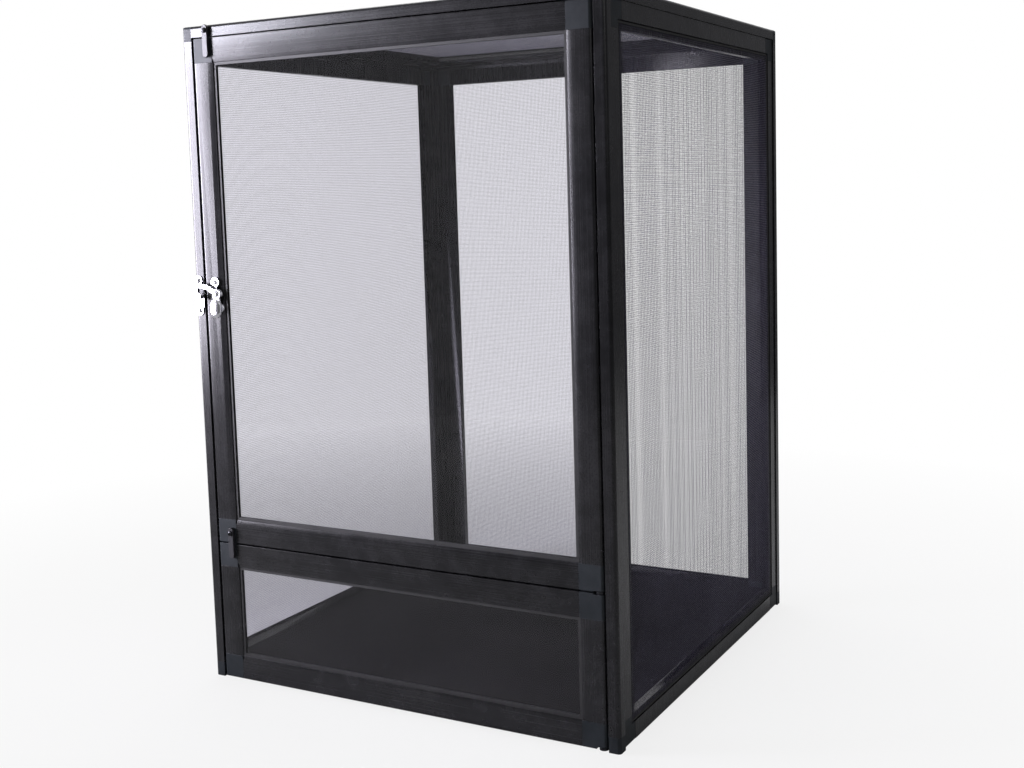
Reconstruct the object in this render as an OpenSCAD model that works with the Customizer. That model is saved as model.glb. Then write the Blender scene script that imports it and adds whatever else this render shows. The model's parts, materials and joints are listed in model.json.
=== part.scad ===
// Screened reptile terrarium: a black aluminium box frame with mesh panels at the
// sides, rear and top, two clear front doors hung on one line of pivots, and a solid floor.
// Millimetres, +Z up, the front faces -Y. The origin is on the ground in the middle
// of the whole part, latch knob included.

/* [Cage] */
// Width across the front
cage_w = 406; // [320:2:640]
// Depth from front to rear
cage_d = 406; // [320:2:640]
// Height from the ground to the top
cage_h = 585; // [460:5:900]
// Height of the line between the two front doors
split_z = 126.5; // [100:0.5:180]

/* [Edge bars] */
// Depth of a corner post or top rail behind the backs of the panels
edge_lap = 1; // [0.8:0.1:4]
// Wall of the edge bars
edge_wall = 1.4; // [1:0.1:2]
// Radius of their outer edge
edge_round = 3; // [1:0.5:5]
// How far the seat fins reach beyond the bar
fin_reach = 5.5; // [4.5:0.5:8]
// Thickness of the seat fins
fin_t = 2; // [1.5:0.5:3]
// Length of a connector leg inside a bar
leg_len = 25; // [15:1:40]

/* [Panel and door frames] */
// Width of the frame bars
bar_w = 21; // [19:0.5:26]
// Thickness of the frame bars
bar_t = 8; // [7:0.5:10]
// Wall of the frame bars
bar_wall = 1.2; // [0.8:0.1:1.6]
// Radius of the stiles' outer edge
stile_round = 2.5; // [1:0.1:3]
// Gap around a fixed panel
panel_gap = 0.3; // [0.2:0.1:0.6]
// Gap from a closed door to the fins behind it, and the depth of a panel's face
seat_gap = 1; // [1:0.1:2]

/* [Screens] */
// Width of the spline groove
groove_w = 3.4; // [3:0.1:4]
// Depth of the spline groove
groove_d = 4.5; // [4:0.1:5]
// Width of the lip between the groove and the screen's opening
screen_lip = 3.4; // [2:0.1:5]
// Depth of the step that the screen lies on
screen_step = 1; // [0.6:0.1:1.5]
// Thickness of the screen
screen_t = 0.5; // [0.3:0.1:0.6]
// Width of the threads between two gaps of the screen
thread_w = 1.6; // [1:0.1:3]
// Largest gap of the screen
net_gap = 46; // [42:1:60]
// Height of the rubber spline
spline_h = 2.8; // [2:0.1:3]

/* [Glazing] */
// Thickness of the door panes
pane_t = 3; // [2:0.1:3]
// Thickness of the gasket on each face of a pane
gasket_t = 0.5; // [0.3:0.1:0.6]
// How far the gasket shows beyond the bars
gasket_lip = 2.5; // [0.5:0.5:4]
// Depth of the glazing groove
glaze_d = 6; // [5:0.5:7]

/* [Doors] */
// Gap at the latch side and above the upper door
door_gap = 1.2; // [1:0.1:2]
// Gap at the hinge side
hinge_gap = 1.6; // [1.5:0.1:2.5]
// Gap between the two doors
split_gap = 1.6; // [1.2:0.1:2.5]
// Height of the lower door and the panels above the ground
ground_gap = 1.2; // [1:0.1:2]
// Distance of the pivot line from the doors' hinge edge
pivot_in = 4; // [4:0.1:5]
// Radius of the pivot pins
pin_r = 2; // [1.5:0.1:2]
// Running clearance around a pin
run_gap = 0.05; // [0.02:0.01:0.1]
// Wall of the pivot bushes
bush_wall = 1; // [0.8:0.1:1.2]
// Length of a bush, and of the pin inside it
bush_len = 8; // [6:0.5:12]
// Thickness of the hinge plates
plate_t = 2; // [1.5:0.1:2]
// Free space above and below a hinge plate
plate_gap = 0.5; // [0.3:0.1:0.8]
// Height of the lowest hinge plate above the ground
base_plate_z = 0.4; // [0.3:0.1:0.5]

/* [Base] */
// Height of the base rails above the ground
base_rise = 3; // [3:0.5:8]
// Height of the base rails
base_h = 10; // [8:0.5:14]
// Depth of the base rails
base_d = 10; // [8:0.5:14]
// Thickness of the floor panel
floor_t = 3; // [2:0.5:5]
// Height of the cross bar behind the doors
cross_h = 18; // [12:1:24]
// Depth of the cross bar
cross_d = 8; // [8:0.5:12]
// Length of the brackets that carry it, past the seat fins
bracket_w = 8.5; // [6:0.5:14]

/* [Latch] */
// Height of the latch above the ground
latch_z = 350; // [260:1:380]
// Thickness of the latch plate on the door
latch_plate_t = 1.5; // [1:0.1:2]
// Thickness of the lever
lever_t = 1.8; // [1.2:0.1:2.5]
// Free space behind and in front of the lever
lever_gap = 0.3; // [0.3:0.1:0.5]
// Radius of the lever's hub
hub_r = 4.2; // [4:0.1:5]
// Width of the hook's leg beside the stud
hook_w = 3; // [2.5:0.1:3.4]
// Half the width of the lever's thumb knob
knob_r = 5.5; // [4:0.5:6]
// How much longer than wide the knob is
knob_stretch = 6; // [0:0.5:8]
// How far the knob stands in front of the door
latch_out = 11; // [10:0.5:14]
// Radius of the keeper's stud
stud_r = 1.6; // [1.5:0.1:2]
// Thickness of the keeper
keeper_t = 1.2; // [0.8:0.1:1.5]

/* [Turn buttons] */
// Length of a turn button below its screw
button_len = 23; // [18:1:30]
// Width of a turn button
button_w = 5.5; // [5:0.5:9]
// Thickness of a turn button
button_t = 3; // [2:0.5:4]
// Distance of its screw from the doors' latch edge
button_in = 17; // [12:0.5:18]
// Height of the lower one's screw above the upper door's lower edge
button_rise = 9; // [6:0.5:10]

/* [Screws] */
// Radius of the small screws
screw_r = 1.4; // [1.2:0.1:1.6]
// Radius of their heads
head_r = 2.2; // [1.8:0.1:2.6]
// Height of their heads
head_h = 1.4; // [1:0.1:1.6]

/* [Hidden] */
$fn = 20;
screw_facets = 14;

x_left = -cage_w / 2;
x_right = cage_w / 2;
y_front = (latch_out - cage_d) / 2;
y_back = y_front + cage_d;

// Clearance of a leg in its bar, and the play of plain fits
fit = 0.1;
// Small overlap that joins two shapes of one solid, or carries a cut through a face
eps = 0.5;

// Seat plane behind the outer face, width of an edge bar, and the reach of its fins
seat = bar_t + seat_gap;
edge_w = seat + edge_lap;
fin_end = edge_w + fin_reach;
panel_in = edge_w + panel_gap;
side_w = cage_d - 2 * panel_in;
rear_w = cage_w - 2 * panel_in;
panel_h = cage_h - panel_in - ground_gap;

// Spline groove and screen, measured in from the panel's edge
groove_in = bar_w - groove_w - screen_lip;
lip_in = groove_in + groove_w;
rim_in = lip_in - screen_t;
screen_z = bar_t - screen_step;
rim_gap = 0.3;
bar_hollow_screen = groove_in - bar_wall;
bar_hollow_glaze = bar_w - glaze_d - bar_wall;

// Glazing groove and pane
glaze_in = bar_w - glaze_d;
glaze_slot = pane_t + 2 * gasket_t;
glaze_z = (bar_t - glaze_slot) / 2;
pane_in = glaze_in + gasket_t;

// Doors and their pivot line
door_back = y_front + bar_t;
door_x0 = x_left + edge_w + door_gap;
door_x1 = x_right - edge_w - hinge_gap;
door_w = door_x1 - door_x0;
upper_z0 = split_z + split_gap / 2;
upper_z1 = cage_h - edge_w - door_gap;
upper_h = upper_z1 - upper_z0;
lower_z0 = ground_gap;
lower_z1 = split_z - split_gap / 2;
lower_h = lower_z1 - lower_z0;
pivot_x = door_x1 - pivot_in;
pivot_y = y_front + bar_t / 2;
bush_r = pin_r + run_gap + bush_wall;

// Hinge plates: how far they stay inside the doors' faces, the play of the notches beside
// them, what covers their rear ends, and the place of their screws from there
plate_in = 0.2;
notch_play = 1;
plate_cover = 2;
plate_screw_in = 2;
// What stays of the top connector above the top pin
pin_cover = 3;
tongue_r = bar_t / 2 - plate_in;
tail_x = min(pivot_x, x_right - fin_end - fit) - tongue_r;
notch_w = door_x1 - tail_x + notch_play;
plate_back = seat + cross_d - plate_cover;
pin_top = cage_h - pin_cover;

// Height of the upper hinge plate, and of the notches that clear both plates
mid_plate_z = split_z - plate_t / 2;
mid_notch = max(0, plate_t / 2 + plate_gap - split_gap / 2);
base_notch = max(0, base_plate_z + plate_t + plate_gap - ground_gap);

// Base rails, floor and cross bar
corner_h = base_rise + base_h;
floor_edge = seat + panel_gap;
cross_end = fin_end + bracket_w;
cross_z = split_z - cross_h / 2;

// Latch: keeper on the post, plate on the door, lever in front of both
keeper_shift = 0.4;
keeper_x = x_left + edge_w / 2 - keeper_shift;
keeper_lobe_r = 4;
keeper_reach = 13.5;
foot_h = 4.5;
spine_w = 2.4;
cap_lip = 1;
cap_r = stud_r + cap_lip;
cap_half = 1;
cap_t = 1.4;
stud_x = x_left + edge_w - stud_r;
stud_drop = 1;
stud_z = latch_z - stud_drop;
throat_gap = 0.6;
leg_x = stud_x - stud_r - throat_gap - hook_w / 2;
elbow_rise = 9.8;
bend_out = 8.5;
bend_rise = 7.8;
plate_shift = 2;
plate_x = door_x0 + bar_w / 2 + plate_shift;
plate_half_w = 3;
plate_lobe_r = 4.6;
plate_reach = 12;
hub_out = 4;
hub_rise = 2;
hub_x = plate_x + hub_out;
hub_z = latch_z + hub_rise;
boss_r = hub_r - 1;
hub_rim = 0.3;
knob_out = 6.5;
knob_drop = 10.5;
knob_x = plate_x + knob_out;
knob_z = latch_z - knob_drop;
knob_pad_r = knob_r - 1;
arm_w = 4.4;
tail_w = 4;
lever_back = latch_plate_t + head_h + lever_gap;
lever_front = lever_back + lever_t;
lever_cap = lever_front + lever_gap;

// Turn buttons: one on the upper door, one on the top rail
button_x = door_x0 + button_in;
button_z = upper_z0 + button_rise;
button_up = 5;
top_button_z = cage_h - max(edge_w / 2, button_up);
button_gap = 0.5;
button_play = 0.3;
button_face = button_gap + button_t + button_play;

// Screws of the fixed panels: their heads lie on the fins, those at the rear lower down
screw_in = fin_end - head_r;
screw_z = cage_h / 2;
screw_stagger = 12;
screw_tip = 1.5;
screw_len = fin_t + bar_wall + screw_tip;
thread_len = 5;
dome_top_r = 0.6 * head_r;

black_metal = [0.16, 0.16, 0.175];
black_plastic = [0.21, 0.23, 0.24];
floor_black = [0.17, 0.17, 0.17];
screen_grey = [0.36, 0.36, 0.38];
rubber_black = [0.08, 0.08, 0.08];
clear_pane = [0.85, 0.92, 0.95, 0.3];
chrome_grey = [0.86, 0.86, 0.9];
steel_grey = [0.6, 0.6, 0.62];

// Frame corners: sx and sy are -1 or 1, and the children reach inwards from the corner

module at_corner(sx, sy) {
    translate([sx * cage_w / 2, sy < 0 ? y_front : y_back, 0])
        mirror([sx > 0 ? 1 : 0, 0, 0])
            mirror([0, sy > 0 ? 1 : 0, 0])
                children();
}

module round_corner(deep, wide) {
    translate([edge_round, edge_round])
        circle(edge_round);
    translate([edge_round, 0])
        square([deep - edge_round, wide]);
    translate([0, edge_round])
        square([deep, wide - edge_round]);
}

module edge_outline() {
    round_corner(edge_w, edge_w);
}

module edge_tube_outline() {
    difference() {
        edge_outline();
        translate([edge_wall, edge_wall])
            square(edge_w - 2 * edge_wall);
    }
}

module fin_outline() {
    translate([seat, seat]) {
        square([fin_end - seat, fin_t]);
        square([fin_t, fin_end - seat]);
    }
}

// A post stands on one connector and ends under another

module post(sx, sy) {
    color(black_metal)
        difference() {
            at_corner(sx, sy)
                translate([0, 0, corner_h])
                    linear_extrude(cage_h - 2 * corner_h) {
                        edge_tube_outline();
                        fin_outline();
                    }
            panel_screw_holes();
            keeper_screw_holes();
        }
}

// A top rail lies along +Z here, with its outer edge at the origin

module top_rail(run) {
    translate([0, 0, edge_w])
        linear_extrude(run - 2 * edge_w)
            edge_tube_outline();
    translate([0, 0, fin_end + panel_gap])
        linear_extrude(run - 2 * fin_end - 2 * panel_gap)
            fin_outline();
}

module top_rail_x(sy) {
    color(black_metal)
        difference() {
            translate([x_left, sy < 0 ? y_front : y_back, cage_h])
                mirror([0, sy > 0 ? 1 : 0, 0])
                    rotate([0, 90, 0])
                        top_rail(cage_w);
            panel_screw_holes();
            pivot_hole(cage_h - edge_w - eps, edge_wall + 2 * eps);
            button_screw_holes();
        }
}

module top_rail_y(sx) {
    color(black_metal)
        difference() {
            translate([sx * cage_w / 2, y_front, cage_h])
                mirror([sx > 0 ? 1 : 0, 0, 0])
                    rotate([-90, 0, 0])
                        top_rail(cage_d);
            panel_screw_holes();
        }
}

module pivot_hole(z, depth) {
    translate([pivot_x, pivot_y, z])
        cylinder(h = depth, r = pin_r);
}

// Square tube along +X with open ends

module tube_x(run, deep, high, wall) {
    difference() {
        cube([run, deep, high]);
        translate([-eps, wall, wall])
            cube([run + 2 * eps, deep - 2 * wall, high - 2 * wall]);
    }
}

module base_rail_x(sy) {
    color(black_metal)
        translate([0, sy < 0 ? y_front : y_back, base_rise])
            mirror([0, sy > 0 ? 1 : 0, 0])
                translate([x_left + seat + base_d, seat, 0])
                    tube_x(cage_w - 2 * (seat + base_d), base_d, base_h, bar_wall);
}

module base_rail_y(sx) {
    translate([sx * cage_w / 2, y_front + seat + base_d, base_rise])
        mirror([sx > 0 ? 1 : 0, 0, 0])
            translate([seat + base_d, 0, 0])
                rotate([0, 0, 90])
                    tube_x(cage_d - 2 * (seat + base_d), base_d, base_h, bar_wall);
}

module base_rails_side() {
    color(black_metal) {
        base_rail_y(-1);
        base_rail_y(1);
    }
}

// Connectors: a cap on the corner with a leg in each bar that meets there

module edge_leg(run) {
    side = edge_w - 2 * edge_wall - 2 * fit;
    translate([edge_wall + fit, edge_wall + fit, 0])
        cube([side, side, run]);
}

module top_connector() {
    intersection() {
        translate([0, 0, cage_h - corner_h])
            linear_extrude(corner_h)
                edge_outline();
        translate([0, 0, cage_h])
            rotate([0, 90, 0])
                linear_extrude(edge_w)
                    round_corner(corner_h, edge_w);
        translate([0, 0, cage_h])
            rotate([-90, 0, 0])
                linear_extrude(edge_w)
                    round_corner(edge_w, corner_h);
    }
    translate([0, 0, cage_h - corner_h - leg_len])
        edge_leg(leg_len + eps);
    translate([edge_w - eps, 0, cage_h])
        rotate([0, 90, 0])
            edge_leg(leg_len + eps);
    translate([0, edge_w - eps, cage_h])
        rotate([-90, 0, 0])
            edge_leg(leg_len + eps);
}

module top_corner_connectors() {
    color(black_plastic)
        difference() {
            for (sx = [-1, 1], sy = [-1, 1])
                at_corner(sx, sy)
                    top_connector();
            pivot_hole(cage_h - edge_w - eps, pin_top - cage_h + edge_w + eps);
            button_screw_holes();
        }
}

module base_leg() {
    side_d = base_d - 2 * bar_wall - 2 * fit;
    side_h = base_h - 2 * bar_wall - 2 * fit;
    translate([seat + base_d - eps, seat + bar_wall + fit, base_rise + bar_wall + fit])
        cube([leg_len + eps, side_d, side_h]);
}

module bottom_connector() {
    linear_extrude(corner_h)
        edge_outline();
    translate([seat, seat, 0])
        cube([base_d, base_d, corner_h]);
    translate([0, 0, corner_h - eps])
        edge_leg(leg_len + eps);
    base_leg();
    mirror([1, -1, 0])
        base_leg();
}

module bottom_corner_connectors() {
    color(black_plastic)
        difference() {
            for (sx = [-1, 1], sy = [-1, 1])
                at_corner(sx, sy)
                    bottom_connector();
            translate([tail_x, y_front + seat - eps, -eps])
                cube([tongue_r, plate_back - seat + eps, base_plate_z + plate_t + eps]);
            base_plate_screw_hole();
        }
}

// Cross bar behind the line between the doors, in two brackets

module cross_bar() {
    color(black_metal)
        translate([x_left + cross_end, y_front + seat, cross_z])
            tube_x(cage_w - 2 * cross_end, cross_d, cross_h, bar_wall);
}

module cross_bar_bracket() {
    back = seat + cross_d;
    translate([fin_end + fit, seat, cross_z])
        cube([cross_end - fin_end - fit, cross_d, cross_h]);
    translate([seat + fin_t + fit, seat + fin_t, cross_z])
        cube([fin_end - seat - fin_t + eps, back - seat - fin_t, cross_h]);
    translate([cross_end - eps, seat + bar_wall + fit, cross_z + bar_wall + fit])
        cube([leg_len, cross_d - 2 * bar_wall - 2 * fit, cross_h - 2 * bar_wall - 2 * fit]);
}

module cross_bar_brackets() {
    color(black_plastic)
        difference() {
            for (sx = [-1, 1])
                at_corner(sx, -1)
                    cross_bar_bracket();
            translate([tail_x, y_front + seat - eps, mid_plate_z])
                cube([tongue_r, plate_back - seat + eps, plate_t]);
            mid_plate_screw_hole();
        }
}

module floor_panel() {
    notch = fin_end + panel_gap - floor_edge;
    color(floor_black)
        difference() {
            translate([x_left + floor_edge, y_front + floor_edge, corner_h])
                cube([cage_w - 2 * floor_edge, cage_d - 2 * floor_edge, floor_t]);
            for (sx = [-1, 1], sy = [-1, 1])
                at_corner(sx, sy)
                    translate([floor_edge - eps, floor_edge - eps, corner_h - eps])
                        cube([notch + eps, notch + eps, floor_t + 2 * eps]);
        }
}

// Framed panels lie flat here: across X, up Y, with the outer face at the top of Z

module inset(w, h, d) {
    translate([d, d])
        square([w - 2 * d, h - 2 * d]);
}

module screen_bar_outline() {
    difference() {
        square([bar_w, bar_t]);
        translate([bar_wall, bar_wall])
            square([bar_hollow_screen - bar_wall, bar_t - 2 * bar_wall]);
        translate([groove_in, bar_t - groove_d])
            square([groove_w, groove_d + eps]);
        translate([groove_in + groove_w - eps, bar_t - screen_step])
            square([bar_w - groove_in - groove_w + 2 * eps, screen_step + eps]);
    }
}

module stile_outline() {
    translate([stile_round, stile_round])
        circle(stile_round);
    translate([stile_round, bar_t - stile_round])
        circle(stile_round);
    translate([stile_round, 0])
        square([bar_w - stile_round, bar_t]);
    translate([0, stile_round])
        square([bar_w, bar_t - 2 * stile_round]);
}

module glaze_cuts_outline() {
    translate([bar_wall, bar_wall])
        square([bar_hollow_glaze - bar_wall, bar_t - 2 * bar_wall]);
    translate([glaze_in, glaze_z])
        square([glaze_d + eps, glaze_slot]);
}

// One bar along +X and one along +Y, from an outline drawn inwards from the outer edge

module rail_run(w) {
    translate([bar_w, 0, 0])
        rotate([90, 0, 90])
            linear_extrude(w - 2 * bar_w)
                children();
}

module stile_run(h) {
    translate([0, h - bar_w, 0])
        rotate([90, 0, 0])
            linear_extrude(h - 2 * bar_w)
                children();
}

module panel_bars(w, h) {
    for (side = [0, 1]) {
        translate([0, side * h, 0])
            mirror([0, side, 0])
                rail_run(w)
                    screen_bar_outline();
        translate([side * w, 0, 0])
            mirror([side, 0, 0])
                stile_run(h)
                    screen_bar_outline();
    }
}

module corner_leg(hollow) {
    translate([bar_w - eps, bar_wall + fit, bar_wall + fit])
        cube([leg_len + eps, hollow - bar_wall - 2 * fit, bar_t - 2 * bar_wall - 2 * fit]);
}

module corner_legs(hollow) {
    corner_leg(hollow);
    mirror([1, -1, 0])
        corner_leg(hollow);
}

module at_panel_corners(w, h) {
    for (i = [0, 1], j = [0, 1])
        translate([i * w, j * h, 0])
            mirror([i, 0, 0])
                mirror([0, j, 0])
                    children();
}

module panel_corners(w, h) {
    color(black_plastic) {
        difference() {
            at_panel_corners(w, h)
                cube([bar_w, bar_w, bar_t]);
            translate([0, 0, bar_t - groove_d])
                linear_extrude(groove_d + eps)
                    difference() {
                        inset(w, h, groove_in);
                        inset(w, h, lip_in);
                    }
            translate([0, 0, screen_z])
                linear_extrude(screen_step + eps)
                    inset(w, h, lip_in - eps);
        }
        at_panel_corners(w, h)
            corner_legs(bar_hollow_screen);
    }
}

// The screen: threads around square gaps, with a rim down the side of the groove

function net_count(span) = max(2, ceil(span / (net_gap + thread_w)));

function gap_corners(x, y, dx, dy) = [[x, y], [x + dx, y], [x + dx, y + dy], [x, y + dy]];

module net_outline(w, h) {
    nx = net_count(w - 2 * bar_w);
    ny = net_count(h - 2 * bar_w);
    px = (w - 2 * bar_w - thread_w) / nx;
    py = (h - 2 * bar_w - thread_w) / ny;
    start = bar_w + thread_w;
    gaps = [for (i = [0 : nx - 1], j = [0 : ny - 1])
        gap_corners(start + i * px, start + j * py, px - thread_w, py - thread_w)];
    rim = gap_corners(rim_in, rim_in, w - 2 * rim_in, h - 2 * rim_in);
    points = [for (loop = concat([rim], gaps)) each loop];
    polygon(points, [for (k = [0 : nx * ny]) [4 * k, 4 * k + 1, 4 * k + 2, 4 * k + 3]]);
}

module panel_screen(w, h) {
    rim_d = groove_d - screen_step - rim_gap;
    color(screen_grey) {
        translate([0, 0, screen_z])
            linear_extrude(screen_t)
                net_outline(w, h);
        translate([0, 0, screen_z - rim_d])
            linear_extrude(rim_d + screen_t)
                difference() {
                    inset(w, h, rim_in);
                    inset(w, h, lip_in);
                }
    }
}

module panel_spline(w, h) {
    color(rubber_black)
        translate([0, 0, screen_z + screen_t - spline_h])
            linear_extrude(spline_h)
                difference() {
                    inset(w, h, groove_in);
                    inset(w, h, rim_in);
                }
}

// Places of the four fixed panels

module on_left() {
    translate([x_left + seat, y_back - panel_in, ground_gap])
        rotate([90, 0, -90])
            children();
}

module on_right() {
    translate([x_right - seat, y_front + panel_in, ground_gap])
        rotate([90, 0, 90])
            children();
}

module on_rear() {
    translate([x_right - panel_in, y_back - seat, ground_gap])
        rotate([90, 0, 180])
            children();
}

module on_top() {
    translate([x_left + panel_in, y_front + panel_in, cage_h - seat])
        children();
}

// Screws through the fins into the back wall of the panel bars, heads inside

module panel_screw_shank() {
    rotate([0, -90, 0])
        cylinder(h = screw_len, r = screw_r, $fn = screw_facets);
}

module screw_side(sx) {
    for (sy = [-1, 1])
        at_corner(sx, sy)
            translate([seat + fin_t, screw_in, screw_z])
                children();
}

module screw_rear() {
    for (sx = [-1, 1])
        at_corner(sx, 1)
            translate([screw_in, seat + fin_t, screw_z - screw_stagger])
                rotate([0, 0, 90])
                    children();
}

module screw_top() {
    for (sy = [-1, 1])
        at_corner(-1, sy)
            translate([cage_w / 2, screw_in, cage_h - seat - fin_t])
                rotate([0, 90, 0])
                    children();
}

module all_panel_screws() {
    screw_side(-1)
        children();
    screw_side(1)
        children();
    screw_rear()
        children();
    screw_top()
        children();
}

module panel_screw_holes() {
    all_panel_screws()
        translate([eps, 0, 0])
            panel_screw_shank();
}

module panel_screws() {
    color(steel_grey)
        all_panel_screws() {
            panel_screw_shank();
            rotate([0, 90, 0])
                cylinder(h = head_h, r = head_r, $fn = screw_facets);
        }
}

// Panel bars, less the holes for their screws

module drilled() {
    color(black_metal)
        difference() {
            children();
            panel_screw_holes();
        }
}

// Doors, drawn as the panels are, with the hinge side at x = w

module door_stiles(w, h) {
    for (side = [0, 1])
        translate([side * w, 0, 0])
            mirror([side, 0, 0])
                stile_run(h)
                    difference() {
                        stile_outline();
                        glaze_cuts_outline();
                    }
}

module door_rails(w, h) {
    for (side = [0, 1])
        translate([0, side * h, 0])
            mirror([0, side, 0])
                rail_run(w)
                    difference() {
                        square([bar_w, bar_t]);
                        glaze_cuts_outline();
                    }
}

module door_corner_block() {
    translate([0, bar_w, 0])
        rotate([90, 0, 0])
            linear_extrude(bar_w)
                stile_outline();
}

module door_corners(w, h, low_notch, high_notch) {
    difference() {
        at_panel_corners(w, h)
            door_corner_block();
        translate([0, 0, glaze_z])
            linear_extrude(glaze_slot)
                inset(w, h, glaze_in);
        for (y = [-eps, h - bush_len])
            translate([w - pivot_in, y, bar_t / 2])
                rotate([-90, 0, 0])
                    cylinder(h = bush_len + eps, r = bush_r);
        translate([w - notch_w, -eps, -eps])
            cube([notch_w + eps, low_notch + eps, bar_t + 2 * eps]);
        translate([w - notch_w, h - high_notch, -eps])
            cube([notch_w + eps, high_notch + eps, bar_t + 2 * eps]);
    }
    at_panel_corners(w, h)
        corner_legs(bar_hollow_glaze);
}

module door_pane(w, h) {
    color(clear_pane)
        translate([0, 0, glaze_z + gasket_t])
            linear_extrude(pane_t)
                inset(w, h, pane_in);
}

module door_gasket(w, h) {
    color(rubber_black)
        difference() {
            translate([0, 0, glaze_z])
                linear_extrude(glaze_slot)
                    difference() {
                        inset(w, h, glaze_in);
                        inset(w, h, bar_w + gasket_lip);
                    }
            translate([0, 0, glaze_z + gasket_t])
                linear_extrude(pane_t)
                    inset(w, h, pane_in);
        }
}

module bush(z, span) {
    color(steel_grey)
        translate([pivot_x, pivot_y, z])
            difference() {
                cylinder(h = span, r = bush_r);
                translate([0, 0, -eps])
                    cylinder(h = span + 2 * eps, r = pin_r + run_gap);
            }
}

module on_upper_door() {
    translate([door_x0, door_back, upper_z0])
        rotate([90, 0, 0])
            children();
}

module on_service_door() {
    translate([door_x0, door_back, lower_z0])
        rotate([90, 0, 0])
            children();
}

module upper_door_stiles() {
    color(black_metal)
        difference() {
            on_upper_door()
                door_stiles(door_w, upper_h);
            latch_screw_holes();
        }
}

module upper_door_rails() {
    color(black_metal)
        on_upper_door()
            door_rails(door_w, upper_h);
}

module upper_door_corners() {
    color(black_plastic)
        difference() {
            on_upper_door()
                door_corners(door_w, upper_h, mid_notch, 0);
            button_screw_holes();
        }
}

module upper_door_pane() {
    on_upper_door()
        door_pane(door_w, upper_h);
}

module upper_door_gasket() {
    on_upper_door()
        door_gasket(door_w, upper_h);
}

module upper_door_bushes() {
    bush(upper_z0 + mid_notch, bush_len - mid_notch);
    bush(upper_z1 - bush_len, bush_len);
}

module service_door_stiles() {
    color(black_metal)
        on_service_door()
            door_stiles(door_w, lower_h);
}

module service_door_rails() {
    color(black_metal)
        on_service_door()
            door_rails(door_w, lower_h);
}

module service_door_corners() {
    color(black_plastic)
        on_service_door()
            door_corners(door_w, lower_h, base_notch, mid_notch);
}

module service_door_pane() {
    on_service_door()
        door_pane(door_w, lower_h);
}

module service_door_gasket() {
    on_service_door()
        door_gasket(door_w, lower_h);
}

module service_door_bushes() {
    bush(lower_z0 + base_notch, bush_len - base_notch);
    bush(lower_z1 - bush_len, bush_len - mid_notch);
}

// Hinge plates: a round tongue under the pivot and a tail that runs back into a bracket

module hinge_plate(z) {
    color(steel_grey)
        difference() {
            union() {
                translate([pivot_x, pivot_y, z])
                    cylinder(h = plate_t, r = tongue_r);
                translate([tail_x, pivot_y, z])
                    cube([tongue_r, y_front + plate_back - pivot_y, plate_t]);
            }
            pivot_hole(z - eps, plate_t + 2 * eps);
            children();
        }
}

module plate_screw_place(z) {
    translate([tail_x + tongue_r / 2, y_front + plate_back - plate_screw_in, z])
        children();
}

module base_plate_screw_hole() {
    plate_screw_place(base_plate_z - eps)
        shank(plate_t + thread_len);
}

module mid_plate_screw_hole() {
    plate_screw_place(mid_plate_z - eps)
        shank((cross_h + plate_t) / 2 + 2 * eps);
}

module hinge_plates() {
    hinge_plate(mid_plate_z)
        mid_plate_screw_hole();
    hinge_plate(base_plate_z)
        base_plate_screw_hole();
}

module hinge_pins() {
    top_z = upper_z1 - bush_len;
    color(steel_grey) {
        translate([pivot_x, pivot_y, top_z])
            cylinder(h = pin_top - top_z, r = pin_r);
        translate([pivot_x, pivot_y, split_z - bush_len])
            cylinder(h = 2 * bush_len, r = pin_r);
        translate([pivot_x, pivot_y, base_plate_z])
            cylinder(h = bush_len, r = pin_r);
    }
}

module hinge_screws() {
    color(steel_grey) {
        plate_screw_place(base_plate_z)
            shank(plate_t + thread_len - eps);
        plate_screw_place(mid_plate_z)
            shank((cross_h + plate_t) / 2);
        plate_screw_place(cross_z + cross_h)
            cylinder(h = head_h, r = head_r, $fn = screw_facets);
    }
}

// Latch: drawn from the front, a shape at (x, z) that starts a distance in front of the doors

module facing(x, z, from) {
    translate([x, y_front - from, z])
        rotate([90, 0, 0])
            children();
}

module shank(long) {
    cylinder(h = long, r = screw_r, $fn = screw_facets);
}

module dome_screw(x, z, from) {
    facing(x, z, from) {
        cylinder(h = head_h, r1 = head_r, r2 = dome_top_r, $fn = screw_facets);
        translate([0, 0, -thread_len])
            shank(thread_len + eps);
    }
}

// Straight strap with round ends, from (x0, z0) to (x1, z1)

module strap(x0, z0, x1, z1, wide) {
    run = norm([x1 - x0, z1 - z0]);
    translate([x0, z0])
        rotate(atan2(z1 - z0, x1 - x0)) {
            circle(wide / 2);
            translate([run, 0])
                circle(wide / 2);
            translate([0, -wide / 2])
                square([run, wide]);
        }
}

module keeper_screw_holes() {
    for (s = [-1, 1])
        facing(keeper_x, latch_z + s * keeper_reach, -thread_len - eps)
            shank(thread_len + keeper_t + 2 * eps);
}

// Two ears joined by a narrow spine; a neck from the lower ear carries the stud

module keeper_plate_outline() {
    foot_z = latch_z - keeper_reach;
    spine_x = keeper_x - keeper_lobe_r + spine_w / 2;
    translate([keeper_x, latch_z + keeper_reach])
        circle(keeper_lobe_r);
    strap(keeper_x, foot_z, keeper_x, foot_z + foot_h, 2 * keeper_lobe_r);
    strap(spine_x, foot_z, spine_x, latch_z + keeper_reach, spine_w);
    strap(stud_x, foot_z + foot_h, stud_x, stud_z, 2 * stud_r);
}

module keeper() {
    color(chrome_grey)
        difference() {
            union() {
                facing(0, 0, 0)
                    linear_extrude(keeper_t)
                        keeper_plate_outline();
                facing(stud_x, stud_z, 0)
                    cylinder(h = lever_cap + eps, r = stud_r);
                facing(0, 0, lever_cap)
                    linear_extrude(cap_t)
                        strap(stud_x, stud_z - cap_half, stud_x, stud_z + cap_half, 2 * cap_r);
            }
            keeper_screw_holes();
        }
}

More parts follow.
